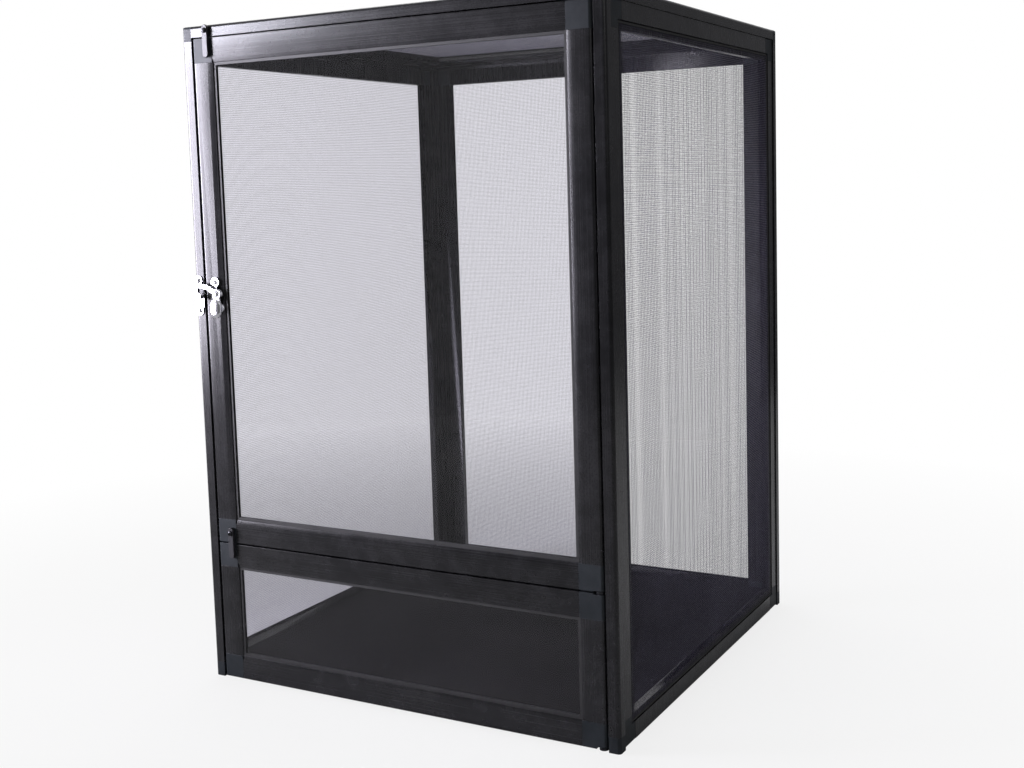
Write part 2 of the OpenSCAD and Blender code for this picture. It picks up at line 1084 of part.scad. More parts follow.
module keeper_screws() {
    color(chrome_grey)
        for (s = [-1, 1])
            dome_screw(keeper_x, latch_z + s * keeper_reach, keeper_t);
}

module latch_screw_holes() {
    for (s = [-1, 1])
        facing(plate_x, latch_z + s * plate_reach, -thread_len)
            shank(thread_len + latch_plate_t + eps);
}

module latch_plate_outline() {
    for (s = [-1, 1])
        translate([0, s * plate_reach])
            circle(plate_lobe_r);
    translate([-plate_half_w, -plate_reach])
        square([2 * plate_half_w, 2 * plate_reach]);
    translate([hub_out, hub_rise])
        circle(boss_r + hub_rim);
}

module latch_plate() {
    color(chrome_grey)
        difference() {
            union() {
                facing(plate_x, latch_z, 0)
                    linear_extrude(latch_plate_t)
                        latch_plate_outline();
                facing(hub_x, hub_z, latch_plate_t - eps)
                    cylinder(h = lever_back - lever_gap - latch_plate_t + eps, r = boss_r);
            }
            latch_screw_holes();
            facing(hub_x, hub_z, -eps)
                cylinder(h = lever_back + 2 * eps, r = stud_r);
        }
}

module latch_screws() {
    color(chrome_grey)
        for (s = [-1, 1])
            dome_screw(plate_x, latch_z + s * plate_reach, latch_plate_t);
}

module latch_rivet() {
    color(chrome_grey) {
        facing(hub_x, hub_z, 0)
            cylinder(h = lever_cap + eps, r = stud_r);
        facing(hub_x, hub_z, lever_cap)
            cylinder(h = cap_t, r1 = boss_r, r2 = stud_r);
    }
}

// The lever: a hub, a bent arm that reaches over the stud, a leg that hangs down beside the
// stud and behind its cap, and a tail under the knob

module lever_outline() {
    elbow_z = latch_z + elbow_rise;
    bend_x = stud_x + bend_out;
    bend_z = latch_z + bend_rise;
    difference() {
        union() {
            translate([hub_x, hub_z])
                circle(hub_r);
            strap(hub_x, hub_z, bend_x, bend_z, arm_w);
            strap(bend_x, bend_z, leg_x, elbow_z, arm_w);
            strap(leg_x, elbow_z, leg_x, stud_z - cap_half, hook_w);
            strap(hub_x, hub_z, knob_x, knob_z, tail_w);
            translate([knob_x, knob_z])
                circle(knob_pad_r);
        }
        translate([hub_x, hub_z])
            circle(stud_r + run_gap);
    }
}

module latch_lever() {
    color(chrome_grey)
        facing(0, 0, lever_back)
            linear_extrude(lever_t)
                lever_outline();
}

module latch_knob() {
    neck_r = 3;
    head = 3.2;
    flare = 0.8;
    crown = 1.2;
    rise = latch_out - lever_front;
    edge = [[neck_r, 0], [neck_r, rise - head], [knob_r, rise - head + flare],
        [knob_r, rise - crown], [knob_r - crown, rise]];
    color(chrome_grey)
        facing(knob_x, knob_z, lever_front) {
            for (s = [-1, 1])
                translate([0, s * knob_stretch / 2, 0])
                    rotate_extrude()
                        polygon(concat([[0, 0]], edge, [[0, rise]]));
            translate([0, knob_stretch / 2, 0])
                rotate([90, 0, 0])
                    linear_extrude(knob_stretch)
                        polygon(concat(edge, [for (k = [4 : -1 : 0]) [-edge[k][0], edge[k][1]]]));
        }
}

// Turn buttons: the one on the upper door holds the service door shut, the one on the
// top rail holds the upper door

module button_screw_holes() {
    for (z = [button_z, top_button_z])
        facing(button_x, z, -thread_len)
            cylinder(h = thread_len + eps, r = screw_r);
}

module button_at(z) {
    round_r = button_w / 2;
    color(black_plastic)
        difference() {
            facing(button_x, z, button_gap)
                linear_extrude(button_t)
                    strap(0, round_r - button_len, 0, button_up - round_r, button_w);
            facing(button_x, z, 0)
                cylinder(h = button_face, r = screw_r + run_gap);
        }
}

module button_screw_at(z) {
    color(steel_grey) {
        facing(button_x, z, -thread_len)
            cylinder(h = thread_len + button_face + eps, r = screw_r);
        facing(button_x, z, button_face)
            cylinder(h = head_h, r = head_r);
    }
}

module turn_button() {
    button_at(button_z);
}

module turn_button_screw() {
    button_screw_at(button_z);
}

module top_turn_button() {
    button_at(top_button_z);
}

module top_turn_button_screw() {
    button_screw_at(top_button_z);
}

// The four fixed panels

module left_panel_bars() {
    drilled()
        on_left()
            panel_bars(side_w, panel_h);
}

module left_panel_corners() {
    on_left()
        panel_corners(side_w, panel_h);
}

module left_panel_screen() {
    on_left()
        panel_screen(side_w, panel_h);
}

module left_panel_spline() {
    on_left()
        panel_spline(side_w, panel_h);
}

module right_panel_bars() {
    drilled()
        on_right()
            panel_bars(side_w, panel_h);
}

module right_panel_corners() {
    on_right()
        panel_corners(side_w, panel_h);
}

module right_panel_screen() {
    on_right()
        panel_screen(side_w, panel_h);
}

module right_panel_spline() {
    on_right()
        panel_spline(side_w, panel_h);
}

module rear_panel_bars() {
    drilled()
        on_rear()
            panel_bars(rear_w, panel_h);
}

module rear_panel_corners() {
    on_rear()
        panel_corners(rear_w, panel_h);
}

module rear_panel_screen() {
    on_rear()
        panel_screen(rear_w, panel_h);
}

module rear_panel_spline() {
    on_rear()
        panel_spline(rear_w, panel_h);
}

module top_panel_bars() {
    drilled()
        on_top()
            panel_bars(rear_w, side_w);
}

module top_panel_corners() {
    on_top()
        panel_corners(rear_w, side_w);
}

module top_panel_screen() {
    on_top()
        panel_screen(rear_w, side_w);
}

module top_panel_spline() {
    on_top()
        panel_spline(rear_w, side_w);
}

post(-1, -1);  // post_front_left
post(1, -1);  // post_front_right
post(-1, 1);  // post_rear_left
post(1, 1);  // post_rear_right
top_rail_x(-1);  // top_rail_front
top_rail_x(1);  // top_rail_rear
top_rail_y(-1);  // top_rail_left
top_rail_y(1);  // top_rail_right
base_rail_x(-1);  // base_rail_front
base_rail_x(1);  // base_rail_rear
base_rails_side();
top_corner_connectors();
bottom_corner_connectors();
cross_bar();
cross_bar_brackets();
floor_panel();
left_panel_bars();
left_panel_corners();
left_panel_screen();
left_panel_spline();
right_panel_bars();
right_panel_corners();
right_panel_screen();
right_panel_spline();
rear_panel_bars();
rear_panel_corners();
rear_panel_screen();
rear_panel_spline();
top_panel_bars();
top_panel_corners();
top_panel_screen();
top_panel_spline();
panel_screws();
hinge_plates();
hinge_pins();
hinge_screws();
keeper();
keeper_screws();
upper_door_stiles();
upper_door_rails();
upper_door_corners();
upper_door_pane();
upper_door_gasket();
upper_door_bushes();
latch_plate();
latch_screws();
latch_rivet();
latch_lever();
latch_knob();
service_door_stiles();
service_door_rails();
service_door_corners();
service_door_pane();
service_door_gasket();
service_door_bushes();
turn_button();
turn_button_screw();
top_turn_button();
top_turn_button_screw();
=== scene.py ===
import json
import math

import bmesh
import bpy
from mathutils import Matrix, Vector


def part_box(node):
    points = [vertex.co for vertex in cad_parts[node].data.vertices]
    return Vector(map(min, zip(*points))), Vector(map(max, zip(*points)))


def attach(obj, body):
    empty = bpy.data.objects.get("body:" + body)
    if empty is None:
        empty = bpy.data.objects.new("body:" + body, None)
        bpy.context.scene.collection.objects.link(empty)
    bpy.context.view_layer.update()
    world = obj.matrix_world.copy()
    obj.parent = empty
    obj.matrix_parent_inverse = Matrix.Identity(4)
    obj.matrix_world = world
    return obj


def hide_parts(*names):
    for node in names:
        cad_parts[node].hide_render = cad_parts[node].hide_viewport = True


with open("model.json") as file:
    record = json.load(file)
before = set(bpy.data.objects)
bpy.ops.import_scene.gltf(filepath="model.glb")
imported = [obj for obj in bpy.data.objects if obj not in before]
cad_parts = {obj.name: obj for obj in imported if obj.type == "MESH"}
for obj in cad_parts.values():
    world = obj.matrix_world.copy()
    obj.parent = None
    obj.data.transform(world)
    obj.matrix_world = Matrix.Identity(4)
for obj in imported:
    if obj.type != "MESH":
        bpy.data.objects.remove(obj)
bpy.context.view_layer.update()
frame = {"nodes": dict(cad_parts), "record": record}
nodes = frame["nodes"]
scene = bpy.context.scene
bodyOf = {}
for bodyName, members in frame["record"]["behaviour"]["bodies"].items():
    for member in members:
        bodyOf[member] = bodyName
slotOf = {part["node"]: part["material_slot"] for part in frame["record"]["subparts"]}
mm = 0.001


# Camera at the photograph's viewpoint

cameraView = {
    "place": (0.6081, -1.0834, 0.4404),
    "ahead": (-0.4813, 0.8702, -0.1058),
    "right": (0.8762, 0.4811, -0.0288),
    "focalPixels": 1312,
    "shiftPixels": -60,
    "imageWidth": 1024,
    "sensorWidth": 36,
}


def addCamera(view):
    ahead = Vector(view["ahead"]).normalized()
    right = Vector(view["right"])
    right = (right - ahead * right.dot(ahead)).normalized()
    turn = Matrix((right, right.cross(ahead), -ahead)).transposed().to_4x4()
    data = bpy.data.cameras.new("camera")
    data.sensor_fit = "HORIZONTAL"
    data.sensor_width = view["sensorWidth"]
    data.lens = view["focalPixels"] * view["sensorWidth"] / view["imageWidth"]
    data.shift_y = view["shiftPixels"] / view["imageWidth"]
    camera = bpy.data.objects.new("camera", data)
    camera.matrix_world = Matrix.Translation(view["place"]) @ turn
    scene.collection.objects.link(camera)
    scene.camera = camera


addCamera(cameraView)
print("camera placed")


# Node trees: one helper for shader and geometry nodes

def addNode(tree, kind, inputs=None, **settings):
    node = tree.nodes.new(kind)
    for name, value in settings.items():
        setattr(node, name, value)
    for socket, value in (inputs or {}).items():
        if isinstance(value, bpy.types.NodeSocket):
            tree.links.new(value, node.inputs[socket])
        else:
            node.inputs[socket].default_value = value
    return node


def newGroup(name, ins, outs, kind="ShaderNodeTree"):
    group = bpy.data.node_groups.new(name, kind)
    for label, socketType, value in ins:
        socket = group.interface.new_socket(label, in_out="INPUT", socket_type=socketType)
        if value is not None:
            socket.default_value = value
    for label, socketType in outs:
        group.interface.new_socket(label, in_out="OUTPUT", socket_type=socketType)
    return group, group.nodes.new("NodeGroupInput").outputs, group.nodes.new("NodeGroupOutput")


def doMath(tree, operation, first, second=0.0, clamp=False):
    node = addNode(tree, "ShaderNodeMath", {0: first, 1: second}, operation=operation,
                   use_clamp=clamp)
    return node.outputs[0]


def stretch(tree, vector, scale):
    node = addNode(tree, "ShaderNodeVectorMath", {0: vector, 1: scale}, operation="MULTIPLY")
    return node.outputs[0]


def noise(tree, vector, scale, detail=2.0, roughness=0.5):
    node = addNode(tree, "ShaderNodeTexNoise",
                   {"Vector": vector, "Scale": scale, "Detail": detail, "Roughness": roughness})
    return node.outputs["Fac"]


def remap(tree, value, low, high, newLow=0.0, newHigh=1.0):
    node = addNode(tree, "ShaderNodeMapRange",
                   {"Value": value, "From Min": low, "From Max": high,
                    "To Min": newLow, "To Max": newHigh})
    return node.outputs["Result"]


def mixColour(tree, fac, first, second):
    node = addNode(tree, "ShaderNodeMix", data_type="RGBA")
    for socket, value in ((0, fac), (6, first), (7, second)):
        if isinstance(value, bpy.types.NodeSocket):
            tree.links.new(value, node.inputs[socket])
        elif socket:
            node.inputs[socket].default_value = (*value, 1.0)
        else:
            node.inputs[socket].default_value = value
    return node.outputs[2]


# Shared effects

def buildDieMarks():
    # Fine lines that the extrusion die leaves along a bar; X of the vector runs along it
    group, ins, out = newGroup(
        "dieMarks",
        [("Vector", "NodeSocketVector", None), ("Lines per metre", "NodeSocketFloat", 900.0)],
        [("Lines", "NodeSocketFloat"), ("Bands", "NodeSocketFloat")])
    lineRun, bandRun = 0.004, 0.01  # share of the change that is left along the bar
    bandsPerLine = 0.16
    fine = stretch(group, ins["Vector"], (lineRun, 1.0, 1.0))
    wide = stretch(group, ins["Vector"], (bandRun, 1.0, 1.0))
    lines = noise(group, fine, ins["Lines per metre"], detail=3.0, roughness=0.6)
    bandScale = doMath(group, "MULTIPLY", ins["Lines per metre"], bandsPerLine)
    bands = noise(group, wide, bandScale, detail=1.0)
    group.links.new(remap(group, lines, 0.3, 0.7), out.inputs["Lines"])
    group.links.new(remap(group, bands, 0.3, 0.7), out.inputs["Bands"])
    return group


def buildMouldGrain():
    # Fine spark-eroded grain of a moulded or rolled plastic, and broad clouds in its colour
    group, ins, out = newGroup(
        "mouldGrain",
        [("Vector", "NodeSocketVector", None), ("Grains per metre", "NodeSocketFloat", 2500.0)],
        [("Grain", "NodeSocketFloat"), ("Cloud", "NodeSocketFloat")])
    cloudsPerGrain = 0.02
    fine = noise(group, ins["Vector"], ins["Grains per metre"], detail=2.0, roughness=0.65)
    cloudScale = doMath(group, "MULTIPLY", ins["Grains per metre"], cloudsPerGrain)
    cloud = noise(group, ins["Vector"], cloudScale, detail=3.0)
    group.links.new(remap(group, fine, 0.25, 0.75), out.inputs["Grain"])
    group.links.new(remap(group, cloud, 0.3, 0.7), out.inputs["Cloud"])
    return group


def buildEdgeWear():
    # Rubbed edges: the edge attribute, broken up along its length
    group, ins, out = newGroup(
        "edgeWear",
        [("Vector", "NodeSocketVector", None), ("Edge", "NodeSocketFloat", 0.0),
         ("Amount", "NodeSocketFloat", 0.5)],
        [("Wear", "NodeSocketFloat")])
    patchesPerMetre = 55.0
    patches = noise(group, ins["Vector"], patchesPerMetre, detail=5.0, roughness=0.7)
    broken = remap(group, patches, 0.42, 0.68)
    worn = doMath(group, "MULTIPLY", broken, ins["Edge"])
    group.links.new(doMath(group, "MULTIPLY", worn, ins["Amount"], clamp=True),
                    out.inputs["Wear"])
    return group


def buildDustFilm():
    # A thin uneven film of dust and handling marks
    group, ins, out = newGroup(
        "dustFilm",
        [("Vector", "NodeSocketVector", None), ("Amount", "NodeSocketFloat", 0.3)],
        [("Film", "NodeSocketFloat")])
    cloudsPerMetre, specksPerMetre = 9.0, 900.0
    broad = noise(group, ins["Vector"], cloudsPerMetre, detail=4.0, roughness=0.6)
    specks = noise(group, ins["Vector"], specksPerMetre, detail=1.0)
    film = doMath(group, "MULTIPLY", remap(group, broad, 0.35, 0.75), ins["Amount"])
    speckled = doMath(group, "MULTIPLY", film, remap(group, specks, 0.3, 0.8, 0.5, 1.0))
    group.links.new(speckled, out.inputs["Film"])
    return group


dieMarks = buildDieMarks()
mouldGrain = buildMouldGrain()
edgeWear = buildEdgeWear()
dustFilm = buildDustFilm()


def useGroup(tree, group, inputs):
    node = tree.nodes.new("ShaderNodeGroup")
    node.node_tree = group
    for name, value in inputs.items():
        if isinstance(value, bpy.types.NodeSocket):
            tree.links.new(value, node.inputs[name])
        else:
            node.inputs[name].default_value = value
    return node.outputs


def newMaterial(name):
    material = bpy.data.materials.new(name)
    material.use_nodes = True
    tree = material.node_tree
    shader = tree.nodes["Principled BSDF"]
    where = addNode(tree, "ShaderNodeTexCoord").outputs["Object"]
    return material, tree, shader, where


def attribute(tree, name, output="Fac"):
    return addNode(tree, "ShaderNodeAttribute", attribute_name=name).outputs[output]


def bump(tree, shader, height, relief):
    distance, strength = relief
    node = addNode(tree, "ShaderNodeBump",
                   {"Strength": strength, "Distance": distance, "Height": height})
    tree.links.new(node.outputs["Normal"], shader.inputs["Normal"])


def varyRough(tree, shader, value, low, high, look):
    # Roughness moves about the look's own value as a noise goes from low to high
    smoother, rougher = look["roughSpread"]
    tree.links.new(remap(tree, value, low, high, look["rough"] + smoother,
                         look["rough"] + rougher), shader.inputs["Roughness"])


def wearOf(tree, where, amount):
    return useGroup(tree, edgeWear, {"Vector": where, "Edge": attribute(tree, "edge"),
                                     "Amount": amount})["Wear"]


def dustOver(tree, shader, where, body, texture, look):
    # Dust lightens the body colour, which it gives back, and dulls the gloss
    dust = look["dust"]
    film = useGroup(tree, dustFilm, {"Vector": where, "Amount": dust["amount"]})["Film"]
    rough = doMath(tree, "ADD", remap(tree, texture, 0, 1, *look["roughSpread"]),
                   doMath(tree, "MULTIPLY", film, dust["dulls"]))
    tree.links.new(doMath(tree, "ADD", rough, look["rough"]), shader.inputs["Roughness"])
    return mixColour(tree, doMath(tree, "MULTIPLY", film, dust["covers"]), body, dust["tint"])


# Materials. A relief is a bump's distance in metres and its strength

anodisedLook = {
    "colour": (0.0035, 0.0035, 0.0042),
    "streak": (0.0065, 0.0065, 0.0076),
    "bare": (0.14, 0.14, 0.15),
    "rough": 0.24,
    "roughSpread": (-0.035, 0.035),
    "ior": 1.42,
    "linesPerMetre": 1500.0,
    "wear": 0.25,
    "dust": {"amount": 0.3, "covers": 0.10, "dulls": 0.25, "tint": (0.30, 0.29, 0.28)},
    "relief": (0.00002, 0.35),
}


def makeAnodised(look):
    material, tree, shader, where = newMaterial("blackAnodised")
    along = attribute(tree, "barSpace", "Vector")
    marks = useGroup(tree, dieMarks, {"Vector": along, "Lines per metre": look["linesPerMetre"]})
    streaked = mixColour(tree, marks["Bands"], look["colour"], look["streak"])
    dusty = dustOver(tree, shader, where, streaked, marks["Lines"], look)
    colour = mixColour(tree, wearOf(tree, where, look["wear"]), dusty, look["bare"])
    tree.links.new(colour, shader.inputs["Base Color"])
    shader.inputs["IOR"].default_value = look["ior"]
    bump(tree, shader, marks["Lines"], look["relief"])
    return material


mouldedSurface = {
    "roughSpread": (-0.05, 0.08),
    "wear": 0.5,
    "dust": {"amount": 0.35, "covers": 0.12, "dulls": 0.2, "tint": (0.32, 0.32, 0.31)},
    "relief": (0.00005, 0.5),
}
plasticLook = {
    **mouldedSurface,
    "colour": (0.009, 0.0118, 0.0142),
    "light": (0.013, 0.0172, 0.0208),
    "rubbed": (0.07, 0.08, 0.09),
    "rough": 0.46,
    "grains": 2600.0,
    "ior": 1.30,
}
buttonLook = {
    **mouldedSurface,
    "colour": (0.008, 0.008, 0.011),
    "light": (0.011, 0.011, 0.015),
    "rubbed": (0.03, 0.03, 0.035),
    "rough": 0.42,
    "grains": 3200.0,
    "ior": 1.5,
}


def makePlastic(name, look):
    material, tree, shader, where = newMaterial(name)
    grain = useGroup(tree, mouldGrain, {"Vector": where, "Grains per metre": look["grains"]})
    body = mixColour(tree, grain["Cloud"], look["colour"], look["light"])
    dusty = dustOver(tree, shader, where, body, grain["Grain"], look)
    colour = mixColour(tree, wearOf(tree, where, look["wear"]), dusty, look["rubbed"])
    tree.links.new(colour, shader.inputs["Base Color"])
    shader.inputs["IOR"].default_value = look["ior"]
    bump(tree, shader, grain["Grain"], look["relief"])
    return material


floorLook = {
    "colour": (0.0035, 0.0035, 0.0037),
    "light": (0.0060, 0.0060, 0.0063),
    "rough": 0.88,
    "roughSpread": (-0.06, 0.1),
    "gloss": 0.02,
    "grains": 900.0,
    "dust": {"amount": 0.4, "covers": 0.05, "dulls": 0.25, "tint": (0.30, 0.29, 0.27)},
    "relief": (0.0001, 0.4),
}


def makeFloorSheet(look):
    material, tree, shader, where = newMaterial("floorSheet")
    grain = useGroup(tree, mouldGrain, {"Vector": where, "Grains per metre": look["grains"]})
    body = mixColour(tree, grain["Cloud"], look["colour"], look["light"])
    tree.links.new(dustOver(tree, shader, where, body, grain["Grain"], look),
                   shader.inputs["Base Color"])
    shader.inputs["Specular IOR Level"].default_value = look["gloss"]
    bump(tree, shader, grain["Grain"], look["relief"])
    return material


wireLook = {
    "colour": (0.036, 0.032, 0.056),
    "light": (0.052, 0.047, 0.078),
    "cloudsPerMetre": 26.0,
    "glintsPerMetre": 700.0,
    "rough": 0.5,
    "roughSpread": (-0.1, 0.1),
    "metal": 0.2,
}


def makeWire(look):
    material, tree, shader, where = newMaterial("screenWire")
    cloud = noise(tree, where, look["cloudsPerMetre"], detail=4.0)
    glint = noise(tree, where, look["glintsPerMetre"], detail=2.0)
    body = mixColour(tree, remap(tree, cloud, 0.35, 0.65), look["colour"], look["light"])
    tree.links.new(body, shader.inputs["Base Color"])
    varyRough(tree, shader, glint, 0.3, 0.7, look)
    shader.inputs["Metallic"].default_value = look["metal"]
    return material


rubberLook = {
    "colour": (0.010, 0.010, 0.010),
    "light": (0.020, 0.020, 0.020),
    "rough": 0.55,
    "roughSpread": (0.0, 0.20),
    "grains": 1800.0,
    "relief": (0.00008, 0.4),
}


def makeRubber(look):
    material, tree, shader, where = newMaterial("blackRubber")
    grain = useGroup(tree, mouldGrain, {"Vector": where, "Grains per metre": look["grains"]})
    body = mixColour(tree, grain["Cloud"], look["colour"], look["light"])
    tree.links.new(body, shader.inputs["Base Color"])
    varyRough(tree, shader, grain["Grain"], 0, 1, look)
    bump(tree, shader, grain["Grain"], look["relief"])
    return material


paneLook = {
    "tint": (0.855, 0.845, 0.905),
    "smeared": 0.99,  # share of the tint that is left under a smear
    "smearsPerMetre": 14.0,
    "haze": 0.012,
    "ior": 1.33,
    "shade": 0.93,
}


def makePane(look):
    material, tree, shader, where = newMaterial("clearAcrylic")
    smears = noise(tree, where, look["smearsPerMetre"], detail=5.0, roughness=0.6)
    tinted = mixColour(tree, remap(tree, smears, 0.4, 0.8), look["tint"],
                       tuple(look["smeared"] * part for part in look["tint"]))
    tree.links.new(tinted, shader.inputs["Base Color"])
    tree.links.new(remap(tree, smears, 0.45, 0.8, 0.0, look["haze"]), shader.inputs["Roughness"])
    shader.inputs["IOR"].default_value = look["ior"]
    shader.inputs["Transmission Weight"].default_value = 1.0
    # Lamps shine through the pane, as they do through the real sheet
    path = addNode(tree, "ShaderNodeLightPath")
    clear = addNode(tree, "ShaderNodeBsdfTransparent",
                    {"Color": (look["shade"], look["shade"], look["shade"], 1.0)})
    mixed = addNode(tree, "ShaderNodeMixShader",
                    {0: path.outputs["Is Shadow Ray"], 1: shader.outputs["BSDF"],
                     2: clear.outputs["BSDF"]})
    tree.links.new(mixed.outputs[0], tree.nodes["Material Output"].inputs["Surface"])
    return material


chromeLook = {
    "colour": (0.86, 0.86, 0.89),
    "dull": (0.70, 0.70, 0.73),
    "rough": 0.16,
    "roughSpread": (-0.03, 0.08),
    "hazePerMetre": 240.0,
    "hairsPerMetre": 420.0,
    "hairLength": 9.0,
    "relief": (0.00003, 0.12),
}


def makeChrome(look):
    material, tree, shader, where = newMaterial("polishedChrome")
    haze = noise(tree, where, look["hazePerMetre"], detail=4.0)
    combed = stretch(tree, where, (1.0, 1.0, look["hairLength"]))
    hair = noise(tree, combed, look["hairsPerMetre"], detail=2.0)
    body = mixColour(tree, remap(tree, haze, 0.45, 0.75), look["colour"], look["dull"])
    tree.links.new(body, shader.inputs["Base Color"])
    varyRough(tree, shader, haze, 0.35, 0.75, look)
    shader.inputs["Metallic"].default_value = 1.0
    bump(tree, shader, hair, look["relief"])
    return material


steelLook = {
    "colour": (0.030, 0.030, 0.033),
    "light": (0.055, 0.055, 0.060),
    "rough": 0.30,
    "roughSpread": (-0.06, 0.12),
    "spanglesPerMetre": 600.0,
    "relief": (0.00004, 0.25),
}


def makeBlackSteel(look):
    # Blackened steel, as screws and hinge plates of a black cage have
    material, tree, shader, where = newMaterial("blackenedSteel")
    spangle = noise(tree, where, look["spanglesPerMetre"], detail=3.0)
    body = mixColour(tree, spangle, look["colour"], look["light"])
    tree.links.new(body, shader.inputs["Base Color"])
    varyRough(tree, shader, spangle, 0.3, 0.7, look)
    shader.inputs["Metallic"].default_value = 1.0
    bump(tree, shader, spangle, look["relief"])
    return material


materialFor = {
    "black_aluminium": makeAnodised(anodisedLook),
    "black_plastic": makePlastic("blackMoulded", plasticLook),
    "floor": makeFloorSheet(floorLook),
    "screen": makeWire(wireLook),
    "rubber": makeRubber(rubberLook),
    "clear_pane": makePane(paneLook),
    "chrome": makeChrome(chromeLook),
    "steel": makeBlackSteel(steelLook),
}
buttonMaterial = makePlastic("blackButton", buttonLook)


def materialOf(node):
    return buttonMaterial if node.endswith("turn_button") else materialFor[slotOf[node]]


for name, cadObject in nodes.items():
    cadObject.data.materials.clear()
    cadObject.data.materials.append(materialOf(name))
print("materials:", len(materialFor), "on", len(nodes), "nodes")


# Finished pieces

joining = {
    "weld": 0.002 * mm,
    "sameEdge": 0.001 * mm,
    "onPlane": 0.0001 * mm,
    "flatAngle": 0.3,  # degrees
}


def addPiece(name, mesh, node):
    piece = bpy.data.objects.new(name, mesh)
    scene.collection.objects.link(piece)
    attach(piece, bodyOf[node])
    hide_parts(node)
    return piece


def islandsOf(bm):
    unseen = set(bm.verts)
    islands = []
    while unseen:
        queue = [unseen.pop()]
        island = []
        while queue:
            vert = queue.pop()
            island.append(vert)
            for edge in vert.link_edges:
                other = edge.other_vert(vert)
                if other in unseen:
                    unseen.remove(other)
                    queue.append(other)
        islands.append(island)
    return islands


def boxOf(points):
    low = Vector([min(point[axis] for point in points) for axis in range(3)])
    high = Vector([max(point[axis] for point in points) for axis in range(3)])
    return low, high


def mergedCopy(node):
    # The CAD's mesh with its flat faces whole again
    bm = bmesh.new()
    bm.from_mesh(nodes[node].data)
    bmesh.ops.remove_doubles(bm, verts=bm.verts, dist=joining["weld"])
    bmesh.ops.dissolve_limit(bm, angle_limit=math.radians(joining["flatAngle"]),
                             verts=bm.verts, edges=bm.edges)
    return bm


def markBars(mesh):
    # barSpace turns each bar so that X runs along its length
    bm = bmesh.new()
    bm.from_mesh(mesh)
    space = bm.verts.layers.float_vector.new("barSpace")
    for island in islandsOf(bm):
        low, high = boxOf([vert.co for vert in island])
        size = high - low
        longest = max(range(3), key=lambda axis: size[axis])
        order = [longest, (longest + 1) % 3, (longest + 2) % 3]
        for vert in island:
            vert[space] = Vector([vert.co[axis] for axis in order])
    bm.to_mesh(mesh)
    bm.free()


sharedEdge = 0.25  # edge value where a bevel meets a face


def markEdges(mesh, edgeIndex):
    # The bevel's own faces carry the edge attribute, and then take the piece's one material
    onBevel = set()
    onFace = set()
    for polygon in mesh.polygons:
        group = onBevel if polygon.material_index == edgeIndex else onFace
        group.update(polygon.vertices)
    values = []
    for index in range(len(mesh.vertices)):
        own = sharedEdge if index in onFace else 1.0
        values.append(own if index in onBevel else 0.0)
    layer = mesh.attributes.new("edge", "FLOAT", "POINT")
    layer.data.foreach_set("value", values)
    for polygon in mesh.polygons:
        polygon.material_index = 0
    mesh.materials.pop(index=edgeIndex)


# The door bars slope inwards beside the pane, as a glazing bead does
barSlope = {"width": 5.4 * mm, "drop": 1.3 * mm}
slopedBars = ("upper_door_stiles", "upper_door_rails", "service_door_stiles",
              "service_door_rails")


def slopeInnerLip(bm, look):
    # Each bar is cut along the slope's upper line, and its inner front edge is pushed back
    doorLow, doorHigh = boxOf([vert.co for vert in bm.verts])
    middle = (doorLow + doorHigh) / 2
    near = joining["sameEdge"]
    for island in islandsOf(bm):
        low, high = boxOf([vert.co for vert in island])
        across = 2 if high.x - low.x > high.z - low.z else 0
        inwards = 1 if (low[across] + high[across]) / 2 < middle[across] else -1
        inner = high[across] if inwards > 0 else low[across]
        normal = Vector([float(axis == across) for axis in range(3)])
        inside = set(island)
        barEdges = [edge for edge in bm.edges if edge.verts[0] in inside]
        barFaces = [face for face in bm.faces if face.verts[0] in inside]
        cut = bmesh.ops.bisect_plane(
            bm, geom=island + barEdges + barFaces, dist=joining["onPlane"],
            plane_co=normal * (inner - inwards * look["width"]), plane_no=normal)
        for item in cut["geom_cut"]:
            if isinstance(item, bmesh.types.BMEdge):
                item.smooth = any(vert.co.y > low.y + near for vert in item.verts)
        for vert in island:
            if vert.co.y < low.y + near and abs(vert.co[across] - inner) < near:
                vert.co.y += look["drop"]


bevelLook = {
    "segments": 2,
    "sharperThan": 35,  # degrees
    "faceWeight": 100,
}


def bevelledPiece(node, width, look):
    bm = mergedCopy(node)
    if node in slopedBars:
        slopeInnerLip(bm, barSlope)
    mesh = bpy.data.meshes.new(node + "_finished")
    bm.to_mesh(mesh)
    bm.free()
    mesh.materials.append(materialOf(node))
    mesh.materials.append(materialOf(node))  # the second slot marks the bevel's faces
    mesh.shade_smooth()
    rough = bpy.data.objects.new(node + "_rough", mesh)
    scene.collection.objects.link(rough)
    bevel = rough.modifiers.new("edges", "BEVEL")
    bevel.width = width * mm
    bevel.segments = look["segments"]
    bevel.limit_method = "ANGLE"
    bevel.angle_limit = math.radians(look["sharperThan"])
    bevel.use_clamp_overlap = True
    bevel.material = 1
    normals = rough.modifiers.new("normals", "WEIGHTED_NORMAL")
    normals.mode = "FACE_AREA"
    normals.weight = look["faceWeight"]
    normals.keep_sharp = True
    finished = bpy.data.meshes.new_from_object(
        rough.evaluated_get(bpy.context.evaluated_depsgraph_get()))
    bpy.data.objects.remove(rough)
    markEdges(finished, 1)
    markBars(finished)
    return addPiece(node + "_finished", finished, node)


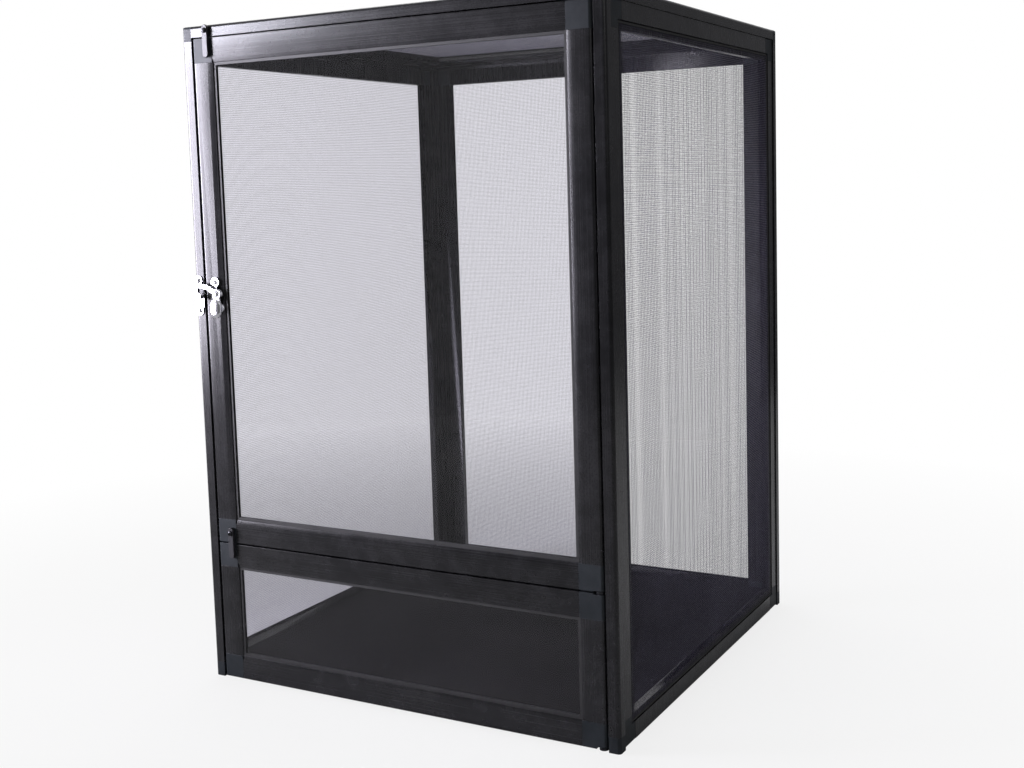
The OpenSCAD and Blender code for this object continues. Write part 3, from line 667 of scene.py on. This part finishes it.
edgeBevels = {  # in millimetres
    "post_front_left": 0.35, "post_front_right": 0.35, "post_rear_left": 0.35,
    "post_rear_right": 0.35, "top_rail_front": 0.35, "top_rail_rear": 0.35,
    "top_rail_left": 0.35, "top_rail_right": 0.35,
    "base_rail_front": 0.3, "base_rail_rear": 0.3, "base_rails_side": 0.3, "cross_bar": 0.4,
    "top_corner_connectors": 0.5, "bottom_corner_connectors": 0.5, "cross_bar_brackets": 0.5,
    "floor_panel": 0.5,
    "left_panel_bars": 0.7, "right_panel_bars": 0.7, "rear_panel_bars": 0.7,
    "top_panel_bars": 0.7,
    "left_panel_corners": 0.5, "right_panel_corners": 0.5, "rear_panel_corners": 0.5,
    "top_panel_corners": 0.5,
    "upper_door_stiles": 0.7, "upper_door_rails": 0.7, "upper_door_corners": 0.5,
    "service_door_stiles": 0.7, "service_door_rails": 0.7, "service_door_corners": 0.5,
    "upper_door_gasket": 0.12, "service_door_gasket": 0.12,
    "turn_button": 0.8, "top_turn_button": 0.8,
    "hinge_plates": 0.25, "hinge_pins": 0.3, "upper_door_bushes": 0.15,
    "service_door_bushes": 0.15, "upper_door_pane": 0.2, "service_door_pane": 0.2,
    "keeper": 0.35, "latch_plate": 0.45, "latch_lever": 0.5, "latch_rivet": 0.3,
}
finishedTriangles = 0
for node, width in edgeBevels.items():
    piece = bevelledPiece(node, width, bevelLook)
    piece.data.calc_loop_triangles()
    finishedTriangles += len(piece.data.loop_triangles)
print("finished pieces:", len(edgeBevels), "with", finishedTriangles, "triangles")


# Wire screens and their splines, drawn flat and then stood in their panels

panelSides = {
    "left": {"across": (0, -1, 0), "up": (0, 0, 1)},
    "right": {"across": (0, 1, 0), "up": (0, 0, 1)},
    "rear": {"across": (-1, 0, 0), "up": (0, 0, 1)},
    "top": {"across": (1, 0, 0), "up": (0, 1, 0)},
}


def panelSpace(side, node):
    # Matrix from the flat drawing to the panel, and the node's size across, up and outwards
    across = Vector(panelSides[side]["across"])
    up = Vector(panelSides[side]["up"])
    axes = (across, up, across.cross(up))
    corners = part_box(node)
    lows = [min(axis.dot(corner) for corner in corners) for axis in axes]
    highs = [max(axis.dot(corner) for corner in corners) for axis in axes]
    origin = sum((axis * low for axis, low in zip(axes, lows)), Vector())
    matrix = Matrix.Translation(origin) @ Matrix(axes).transposed().to_4x4()
    return matrix, [high - low for low, high in zip(lows, highs)]


def polyline(tree, points):
    ins = {"Point " + str(place + 1): point for place, point in enumerate(points)}
    quad = addNode(tree, "GeometryNodeCurvePrimitiveQuadrilateral", ins, mode="POINTS")
    opened = addNode(tree, "GeometryNodeSetSplineCyclic",
                     {"Geometry": quad.outputs["Curve"], "Cyclic": False})
    return opened.outputs["Geometry"]


def joinVector(tree, x=0.0, y=0.0, z=0.0):
    return addNode(tree, "ShaderNodeCombineXYZ", {"X": x, "Y": y, "Z": z}).outputs["Vector"]


def randomBetween(tree, low, high, seed):
    node = addNode(tree, "FunctionNodeRandomValue", {2: low, 3: high, "Seed": seed})
    return node.outputs[1]


# The rear panel's mesh is cut across the roll, whose two pitches differ
screenSizes = {
    "warp": 1.5 * mm,
    "weft": 1.7 * mm,
    "drift": 0.07 * mm,
    "wire": 0.247 * mm,
    "wireSides": 6,
    "crossing": 0.8,  # wire thicknesses that the upright wires lie lower
    "cutAcross": ("rear",),
}


def wireRow(tree, ins, length, spread, gap, swap, seed):
    # Parallel wires, a little unevenly spaced, with their ends turned down into the groove.
    # With swap they run up the panel, and lie under the level ones

    def lay(along, across, deep):
        first, second = (across, along) if swap else (along, across)
        return joinVector(tree, first, second, deep)

    radius = doMath(tree, "MULTIPLY", ins["Wire"], 0.5)
    top = ins["Lift"]
    if swap:
        under = doMath(tree, "MULTIPLY", ins["Wire"], screenSizes["crossing"])
        top = doMath(tree, "SUBTRACT", top, under)
    end = doMath(tree, "SUBTRACT", length, radius)
    path = polyline(tree, [lay(radius, 0.0, 0.0), lay(radius, 0.0, top),
                           lay(end, 0.0, top), lay(end, 0.0, 0.0)])
    profile = addNode(tree, "GeometryNodeCurvePrimitiveCircle",
                      {"Resolution": screenSizes["wireSides"], "Radius": radius}, mode="RADIUS")
    wire = addNode(tree, "GeometryNodeCurveToMesh",
                   {"Curve": path, "Profile Curve": profile.outputs["Curve"],
                    "Fill Caps": True})
    count = doMath(tree, "FLOOR", doMath(tree, "DIVIDE", spread, gap))
    taken = doMath(tree, "MULTIPLY", doMath(tree, "SUBTRACT", count, 1.0), gap)
    margin = doMath(tree, "MULTIPLY", doMath(tree, "SUBTRACT", spread, taken), 0.5)
    row = addNode(tree, "GeometryNodeMeshLine",
                  {"Count": count, "Start Location": lay(0.0, margin, 0.0),
                   "Offset": lay(0.0, gap, 0.0)}, mode="OFFSET")
    drift = randomBetween(tree, doMath(tree, "MULTIPLY", ins["Drift"], -1.0), ins["Drift"], seed)
    loose = addNode(tree, "GeometryNodeSetPosition",
                    {"Geometry": row.outputs["Mesh"], "Offset": lay(0.0, drift, 0.0)})
    placed = addNode(tree, "GeometryNodeInstanceOnPoints",
                     {"Points": loose.outputs["Geometry"], "Instance": wire.outputs["Mesh"]})
    return placed.outputs["Instances"]


def finishTree(tree, geometry, finish, out):
    whole = addNode(tree, "GeometryNodeRealizeInstances", {"Geometry": geometry})
    dressed = addNode(tree, "GeometryNodeSetMaterial",
                      {"Geometry": whole.outputs["Geometry"], "Material": finish})
    tree.links.new(dressed.outputs["Geometry"], out.inputs["Geometry"])


def buildWireScreen():
    tree, ins, out = newGroup(
        "wireScreen",
        [("Width", "NodeSocketFloat", 0.35), ("Height", "NodeSocketFloat", 0.35),
         ("Lift", "NodeSocketFloat", 0.003), ("Pitch Across", "NodeSocketFloat", 0.0015),
         ("Pitch Up", "NodeSocketFloat", 0.0015), ("Drift", "NodeSocketFloat", 0.0001),
         ("Wire", "NodeSocketFloat", 0.00025)],
        [("Geometry", "NodeSocketGeometry")], "GeometryNodeTree")
    joined = tree.nodes.new("GeometryNodeJoinGeometry")
    upright = wireRow(tree, ins, ins["Height"], ins["Width"], ins["Pitch Across"], True, seed=3)
    level = wireRow(tree, ins, ins["Width"], ins["Height"], ins["Pitch Up"], False, seed=8)
    tree.links.new(upright, joined.inputs[0])
    tree.links.new(level, joined.inputs[0])
    finishTree(tree, joined.outputs["Geometry"], materialFor["screen"], out)
    return tree


splineSizes = {
    "rib": 0.16 * mm,
    "ribs": 9,
    "bend": 1.6,  # of the cord's radius
    "bendSteps": 5,
}


def buildSplineCord():
    tree, ins, out = newGroup(
        "splineCord",
        [("Width", "NodeSocketFloat", 0.35), ("Height", "NodeSocketFloat", 0.35),
         ("Radius", "NodeSocketFloat", 0.0014), ("Rib", "NodeSocketFloat", 0.0002)],
        [("Geometry", "NodeSocketGeometry")], "GeometryNodeTree")
    loop = addNode(tree, "GeometryNodeCurvePrimitiveQuadrilateral",
                   {"Width": ins["Width"], "Height": ins["Height"]}, mode="RECTANGLE")
    bend = doMath(tree, "MULTIPLY", ins["Radius"], splineSizes["bend"])
    bent = addNode(tree, "GeometryNodeFilletCurve",
                   {"Curve": loop.outputs["Curve"], "Radius": bend}, mode="POLY")
    bent.inputs["Count"].default_value = splineSizes["bendSteps"]
    valley = doMath(tree, "SUBTRACT", ins["Radius"], ins["Rib"])
    star = addNode(tree, "GeometryNodeCurveStar",
                   {"Points": splineSizes["ribs"], "Inner Radius": valley,
                    "Outer Radius": ins["Radius"]})
    cord = addNode(tree, "GeometryNodeCurveToMesh",
                   {"Curve": bent.outputs["Curve"], "Profile Curve": star.outputs["Curve"]})
    finishTree(tree, cord.outputs["Mesh"], materialFor["rubber"], out)
    return tree


def runTree(tree, name, values, start=None):
    # Values go in by the sockets' identifiers, and the result becomes a plain mesh
    start = start or bpy.data.meshes.new(name + "_carrier")
    carrier = bpy.data.objects.new(name + "_carrier", start)
    scene.collection.objects.link(carrier)
    modifier = carrier.modifiers.new("nodes", "NODES")
    modifier.node_group = tree
    sockets = {item.name: item.identifier for item in tree.interface.items_tree
               if item.in_out == "INPUT"}
    for label, value in values.items():
        modifier[sockets[label]] = value
    bpy.context.view_layer.update()
    mesh = bpy.data.meshes.new_from_object(
        carrier.evaluated_get(bpy.context.evaluated_depsgraph_get()))
    bpy.data.objects.remove(carrier)
    mesh.name = name
    return mesh


def addScreen(tree, side):
    node = side + "_panel_screen"
    matrix, (width, height, depth) = panelSpace(side, node)
    pitches = (screenSizes["warp"], screenSizes["weft"])
    across, up = reversed(pitches) if side in screenSizes["cutAcross"] else pitches
    mesh = runTree(tree, node + "_wires", {
        "Width": width, "Height": height, "Lift": depth - screenSizes["wire"] / 2,
        "Pitch Across": across, "Pitch Up": up, "Drift": screenSizes["drift"],
        "Wire": screenSizes["wire"]})
    mesh.transform(matrix)
    mesh.shade_smooth()
    addPiece(node + "_wires", mesh, node)
    return len(mesh.polygons)


def addSpline(tree, side):
    node = side + "_panel_spline"
    matrix, (width, height, depth) = panelSpace(side, node)
    radius = depth / 2
    mesh = runTree(tree, node + "_cord", {
        "Width": width - 2 * radius, "Height": height - 2 * radius, "Radius": radius,
        "Rib": splineSizes["rib"]})
    mesh.transform(matrix @ Matrix.Translation((width / 2, height / 2, radius)))
    mesh.shade_smooth()
    addPiece(node + "_cord", mesh, node)


wireScreen = buildWireScreen()
splineCord = buildSplineCord()
for side in panelSides:
    print(side, "screen:", addScreen(wireScreen, side), "faces")
    addSpline(splineCord, side)


# Screws: a shank and a domed head with a cross recess, one at each place of the CAD's own

screwShape = {
    "sides": 28,
    # Steps of the head: share of its height, and width against the step below
    "domes": ((0.34, 1.0), (0.24, 0.955), (0.20, 0.88), (0.14, 0.76), (0.08, 0.6)),
    "slotWidth": 0.24,  # of the head's radius, as is the length
    "slotLength": 1.15,
    "slotDepth": 1.1,  # of the head's height, and half of it lies above the head
    "turns": (0.2, 1.4),  # radians
    "smoothBelow": 38,  # degrees
}


def growHead(tree, mesh, top, rise, scale):
    taller = addNode(tree, "GeometryNodeExtrudeMesh",
                     {"Mesh": mesh, "Selection": top, "Offset Scale": rise}, mode="FACES")
    shaped = addNode(tree, "GeometryNodeScaleElements",
                     {"Geometry": taller.outputs["Mesh"], "Selection": taller.outputs["Top"],
                      "Scale": scale}, domain="FACE")
    return shaped.outputs["Geometry"], taller.outputs["Top"]


def buildScrews():
    tree, ins, out = newGroup(
        "crossHeadScrews",
        [("Points", "NodeSocketGeometry", None), ("Head Radius", "NodeSocketFloat", 0.0022),
         ("Head Height", "NodeSocketFloat", 0.0014), ("Shank Radius", "NodeSocketFloat", 0.0014),
         ("Shank Length", "NodeSocketFloat", 0.005), ("Slot Width", "NodeSocketFloat", 0.0005),
         ("Finish", "NodeSocketMaterial", None)],
        [("Geometry", "NodeSocketGeometry")], "GeometryNodeTree")
    shank = addNode(tree, "GeometryNodeMeshCylinder",
                    {"Vertices": screwShape["sides"], "Radius": ins["Shank Radius"],
                     "Depth": ins["Shank Length"]}, fill_type="NGON")
    depth = doMath(tree, "MULTIPLY", ins["Shank Length"], -0.5)
    sunk = addNode(tree, "GeometryNodeTransform",
                   {"Geometry": shank.outputs["Mesh"], "Translation": joinVector(tree, z=depth)})
    flare = doMath(tree, "DIVIDE", ins["Head Radius"], ins["Shank Radius"])
    mesh, top = growHead(tree, sunk.outputs["Geometry"], shank.outputs["Top"], 0.0, flare)
    for share, scale in screwShape["domes"]:
        rise = doMath(tree, "MULTIPLY", ins["Head Height"], share)
        mesh, top = growHead(tree, mesh, top, rise, scale)
    cut = addNode(tree, "GeometryNodeMeshBoolean", {"Mesh 1": mesh}, operation="DIFFERENCE",
                  solver="EXACT")
    slotLength = doMath(tree, "MULTIPLY", ins["Head Radius"], screwShape["slotLength"])
    slotDepth = doMath(tree, "MULTIPLY", ins["Head Height"], screwShape["slotDepth"])
    for size in (joinVector(tree, slotLength, ins["Slot Width"], slotDepth),
                 joinVector(tree, ins["Slot Width"], slotLength, slotDepth)):
        bar = addNode(tree, "GeometryNodeMeshCube", {"Size": size})
        raised = addNode(tree, "GeometryNodeTransform",
                         {"Geometry": bar.outputs["Mesh"],
                          "Translation": joinVector(tree, z=ins["Head Height"])})
        tree.links.new(raised.outputs["Geometry"], cut.inputs["Mesh 2"])
    outward = addNode(tree, "GeometryNodeInputNamedAttribute", {"Name": "outward"},
                      data_type="FLOAT_VECTOR")
    facing = addNode(tree, "FunctionNodeAlignRotationToVector",
                     {"Vector": outward.outputs["Attribute"]}, axis="Z")
    placed = addNode(tree, "GeometryNodeInstanceOnPoints",
                     {"Points": ins["Points"], "Instance": cut.outputs["Mesh"],
                      "Rotation": facing.outputs["Rotation"]})
    turned = randomBetween(tree, *screwShape["turns"], 5)
    driven = addNode(tree, "GeometryNodeRotateInstances",
                     {"Instances": placed.outputs["Instances"],
                      "Rotation": joinVector(tree, z=turned)})
    finishTree(tree, driven.outputs["Instances"], ins["Finish"], out)
    return tree


def screwFrom(island):
    # Seat, outward direction and sizes of one of the CAD's screws
    low, high = boxOf([vert.co for vert in island])
    along = max(range(3), key=lambda axis: (high - low)[axis])
    middle = (low + high) / 2

    def spread(vert):
        away = vert.co - middle
        away[along] = 0
        return away.length

    headRadius = max(spread(vert) for vert in island)
    offAxis = 0.4 * headRadius  # leaves out a point in the middle of an end
    onRim = 0.97 * headRadius
    shankRadius = min(spread(vert) for vert in island if spread(vert) > offAxis)
    head = [vert.co[along] for vert in island if spread(vert) > onRim]
    sign = 1 if sum(head) / len(head) > middle[along] else -1
    tail, tip = (low, high) if sign > 0 else (high, low)
    seat = middle.copy()
    seat[along] = min(head) if sign > 0 else max(head)
    outward = Vector([sign * float(axis == along) for axis in range(3)])
    return seat, outward, {"Head Radius": headRadius, "Shank Radius": shankRadius,
                           "Head Height": abs(tip[along] - seat[along]),
                           "Shank Length": abs(seat[along] - tail[along])}


screwNodes = ("panel_screws", "hinge_screws", "keeper_screws", "latch_screws",
              "turn_button_screw", "top_turn_button_screw")


def shankTenths(sizes):
    return round(sizes["Shank Length"] / mm, 1)


def addScrews(tree, node):
    # One run of the tree for each shank length, and all of them in one mesh
    bm = mergedCopy(node)
    found = [screwFrom(island) for island in islandsOf(bm)]
    bm.free()
    lengths = sorted({shankTenths(sizes) for seat, outward, sizes in found})
    joined = bmesh.new()
    for length in lengths:
        alike = [entry for entry in found if shankTenths(entry[2]) == length]
        start = bpy.data.meshes.new(node + "_places")
        start.from_pydata([seat for seat, outward, sizes in alike], [], [])
        layer = start.attributes.new("outward", "FLOAT_VECTOR", "POINT")
        for place, (seat, outward, sizes) in enumerate(alike):
            layer.data[place].vector = outward
        sizes = alike[0][2]
        mesh = runTree(tree, node + "_turned",
                       {**sizes, "Slot Width": screwShape["slotWidth"] * sizes["Head Radius"],
                        "Finish": materialOf(node)}, start)
        joined.from_mesh(mesh)
    joined.to_mesh(mesh)
    joined.free()
    mesh.shade_smooth()
    mesh.set_sharp_from_angle(angle=math.radians(screwShape["smoothBelow"]))
    addPiece(node + "_turned", mesh, node)
    return len(found), lengths


screws = buildScrews()
for node in screwNodes:
    print(node, *addScrews(screws, node))


# The latch's thumb knob, lofted from long rings

knobShape = {
    "steps": 40,
    "rings": [  # radius and height below the top in millimetres; the first lies at the back
        (3.0, None), (3.0, 3.5), (3.2, 3.3), (4.2, 3.1), (5.0, 2.75), (5.4, 2.25), (5.5, 1.7),
        (5.35, 1.15), (4.9, 0.65), (4.1, 0.3), (3.0, 0.12), (1.8, 0.03), (0.7, 0.0)],
}


def addKnob(node, shape):
    low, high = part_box(node)
    middle = (Vector(low) + Vector(high)) / 2
    halfLong = (high[2] - low[2]) / 2 - (high[0] - low[0]) / 2
    steps = shape["steps"]
    bm = bmesh.new()
    loops = []
    for radius, below in shape["rings"]:
        y = high[1] if below is None else low[1] + below * mm
        loop = []
        for step in range(steps):
            angle = 2 * math.pi * (step + 0.5) / steps
            x = radius * mm * math.cos(angle)
            z = radius * mm * math.sin(angle)
            longer = math.copysign(halfLong, z)
            loop.append(bm.verts.new((middle.x + x, y, middle.z + z + longer)))
        loops.append(loop)
    for lower, upper in zip(loops, loops[1:]):
        for step in range(steps):
            after = (step + 1) % steps
            bm.faces.new((lower[step], lower[after], upper[after], upper[step]))
    bm.faces.new(loops[0])
    bm.faces.new(loops[-1])
    bmesh.ops.recalc_face_normals(bm, faces=bm.faces)
    mesh = bpy.data.meshes.new(node + "_finished")
    bm.to_mesh(mesh)
    bm.free()
    mesh.materials.append(materialOf(node))
    mesh.shade_smooth()
    addPiece(node + "_finished", mesh, node)


addKnob("latch_knob", knobShape)
print("screws and knob turned")


# Studio: a pale floor that fades into the white surround, and soft lamps

studioFloor = {
    "radius": 1.6,
    "segments": 96,
    "colour": (0.5, 0.5, 0.5, 1.0),
    "rough": 0.8,
    "cameraWhite": (0.2, 1.0, 0.80, 1.0),  # two distances, and the share of white at each
    "throughWhite": (0.3, 1.2, 0.0, 1.0),
}


def addFloor(look):
    bm = bmesh.new()
    bmesh.ops.create_circle(bm, cap_ends=True, segments=look["segments"],
                            radius=look["radius"])
    mesh = bpy.data.meshes.new("studioFloor")
    bm.to_mesh(mesh)
    bm.free()
    material, tree, shader, where = newMaterial("paleFloor")
    shader.inputs["Base Color"].default_value = look["colour"]
    shader.inputs["Roughness"].default_value = look["rough"]
    distance = addNode(tree, "ShaderNodeVectorMath", {0: where}, operation="LENGTH")
    away = distance.outputs["Value"]
    path = addNode(tree, "ShaderNodeLightPath").outputs
    direct = doMath(tree, "MULTIPLY", path["Is Camera Ray"],
                    remap(tree, away, *look["cameraWhite"]))
    through = doMath(tree, "MULTIPLY", path["Is Transmission Ray"],
                     remap(tree, away, *look["throughWhite"]))
    white = addNode(tree, "ShaderNodeEmission", {"Color": (1, 1, 1, 1), "Strength": 1.0})
    mixed = addNode(tree, "ShaderNodeMixShader",
                    {0: doMath(tree, "MAXIMUM", direct, through), 1: shader.outputs["BSDF"],
                     2: white.outputs[0]})
    tree.links.new(mixed.outputs[0], tree.nodes["Material Output"].inputs["Surface"])
    mesh.materials.append(material)
    floor = bpy.data.objects.new("studioFloor", mesh)
    scene.collection.objects.link(floor)


roomLook = {
    "dim": (0.10, 0.10, 0.107),
    "bright": (0.40, 0.40, 0.42),
    "rise": (-0.1, 0.9),  # height of the direction where dim ends and bright begins
    "backdrop": (-0.48, 0.86, 0.1),
    "backdropEdge": 0.80,
    "backdropFade": 0.1,
}


def addWorld(look):
    world = bpy.data.worlds.new("studio")
    scene.world = world
    world.use_nodes = True
    tree = world.node_tree
    tree.nodes.clear()
    direction = addNode(tree, "ShaderNodeTexCoord").outputs["Generated"]
    height = addNode(tree, "ShaderNodeSeparateXYZ", {0: direction}).outputs["Z"]
    room = mixColour(tree, remap(tree, height, *look["rise"]), look["dim"], look["bright"])
    facing = addNode(tree, "ShaderNodeVectorMath",
                     {0: direction, 1: Vector(look["backdrop"]).normalized()},
                     operation="DOT_PRODUCT").outputs["Value"]
    behind = remap(tree, facing, look["backdropEdge"],
                   look["backdropEdge"] + look["backdropFade"])
    path = addNode(tree, "ShaderNodeLightPath").outputs
    mirrored = doMath(tree, "MULTIPLY", path["Is Glossy Ray"], behind)
    through = doMath(tree, "MAXIMUM", path["Is Camera Ray"], path["Is Transmission Ray"])
    colour = mixColour(tree, doMath(tree, "MAXIMUM", mirrored, through), room, (1, 1, 1))
    background = addNode(tree, "ShaderNodeBackground", {"Color": colour, "Strength": 1.0})
    out = addNode(tree, "ShaderNodeOutputWorld")
    tree.links.new(background.outputs[0], out.inputs["Surface"])


lamps = {
    "leftStrip": {"place": (-0.750, -0.544, 0.48), "aim": (-0.20, -0.20, 0.41),
                  "size": (0.40, 0.52), "power": 4.5, "colour": (0.90, 0.87, 1.0), "spread": 66},
    "topStrip": {"place": (-0.56, -0.60, 0.70), "aim": (-0.14, -0.20, 0.575),
                 "size": (0.26, 0.12), "power": 0.34, "colour": (0.88, 0.88, 1.0), "spread": 60},
    "overhead": {"place": (-0.4, 0.75, 1.9), "aim": (0.0, 0.1, 0.3),
                 "size": (1.8, 1.4), "power": 30.0, "colour": (1.0, 1.0, 1.0), "spread": 180},
    "rightFill": {"place": (1.7, -1.3, 1.2), "aim": (0.1, 0.0, 0.25),
                  "size": (0.9, 0.9), "power": 4.0, "colour": (1.0, 1.0, 1.0), "spread": 180},
}


def addLamp(name, settings):
    data = bpy.data.lights.new(name, "AREA")
    data.shape = "RECTANGLE"
    data.size, data.size_y = settings["size"]
    data.energy = settings["power"]
    data.color = settings["colour"]
    data.spread = math.radians(settings["spread"])
    lamp = bpy.data.objects.new(name, data)
    place = Vector(settings["place"])
    aim = Vector(settings["aim"]) - place
    turn = aim.to_track_quat("-Z", "Y").to_matrix().to_4x4()
    lamp.matrix_world = Matrix.Translation(place) @ turn
    lamp.visible_camera = False
    lamp.visible_transmission = False
    scene.collection.objects.link(lamp)


addFloor(studioFloor)
addWorld(roomLook)
for lampName, lampSettings in lamps.items():
    addLamp(lampName, lampSettings)
scene.view_settings.view_transform = "Standard"
print("studio lit by", len(lamps), "lamps")
